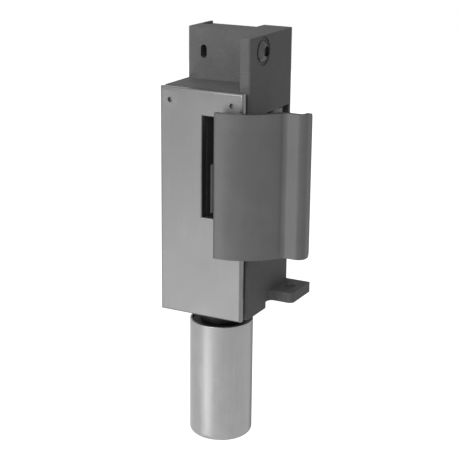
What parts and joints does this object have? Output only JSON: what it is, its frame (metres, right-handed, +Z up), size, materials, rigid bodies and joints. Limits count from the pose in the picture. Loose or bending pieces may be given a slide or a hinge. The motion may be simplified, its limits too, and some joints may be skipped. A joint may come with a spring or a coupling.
{
  "type": "electric strike",
  "caption": "Electric door strike: cast housing with a fixing foot, bright front plate, swinging curved keeper and a tubular solenoid below that locks it.",
  "frame": {"origin": "middle of the housing's flat back face (without bracket and foot)", "axes": "+Z up along the long side of the front plate, +Y out of the back face into the door frame, so the front plate faces -Y; the keeper looks out of the +X side"},
  "size_m": [0.057, 0.0459, 0.1643],
  "materials": {
    "cast_body": "dark grey painted casting",
    "plate_steel": "satin",
    "keeper_steel": "satin, grey",
    "screw_steel": "zinc plated",
    "dark_screw": "blackened",
    "spring_steel": "spring steel",
    "lever_steel": "plain steel",
    "can_steel": "zinc plated, satin",
    "black_plastic": "matt",
    "bush_steel": "turned, zinc plated",
    "bobbin_plastic": "natural nylon",
    "coil_copper": "enamelled wire",
    "rubber_black": "matt"
  },
  "bodies": {
    "frame": {"housing": "cast_body", "front_plate": "plate_steel", "plate_screws": "screw_steel", "plate_dowels": "screw_steel", "keeper_pin": "screw_steel", "keeper_pin_ring": "spring_steel", "keeper_spring": "spring_steel", "lever_pin": "screw_steel", "lever_pin_ring": "spring_steel", "return_spring": "spring_steel", "mounting_bush": "bush_steel", "mounting_nut": "bush_steel", "solenoid_can": "can_steel", "end_disc": "black_plastic", "bobbin": "bobbin_plastic", "coil_winding": "coil_copper", "pole_piece": "lever_steel", "lead_grommet": "rubber_black", "side_screw": "dark_screw"},
    "keeper": {"keeper": "keeper_steel"},
    "lever": {"locking_lever": "lever_steel"},
    "plunger": {"plunger": "lever_steel", "plunger_link_pin": "screw_steel"}
  },
  "joints": [
    {"name": "keeper_swing", "type": "hinge", "parent": "frame", "child": "keeper", "pos_m": [0.0125, -0.008, 0.008], "axis": [0, 0, 1], "range_deg": [0, 40], "stiffness_Nm_per_rad": 0.04, "springref_deg": -34.38},
    {"name": "plunger_stroke", "type": "slide", "parent": "frame", "child": "plunger", "axis": [0, 0, -1], "range_m": [0, 0.00229], "stiffness_N_per_m": 300, "springref_m": -0.005, "deforming": ["return_spring"]},
    {"name": "lever_turn", "type": "hinge", "parent": "frame", "child": "lever", "pos_m": [-0.0085, -0.018, -0.0324], "axis": [0, 1, 0], "range_deg": [0, 16.05]}
  ],
  "couplings": [
    {"joint": "lever_turn", "follows": "plunger_stroke", "rad_per_m": 121.73}
  ]
}
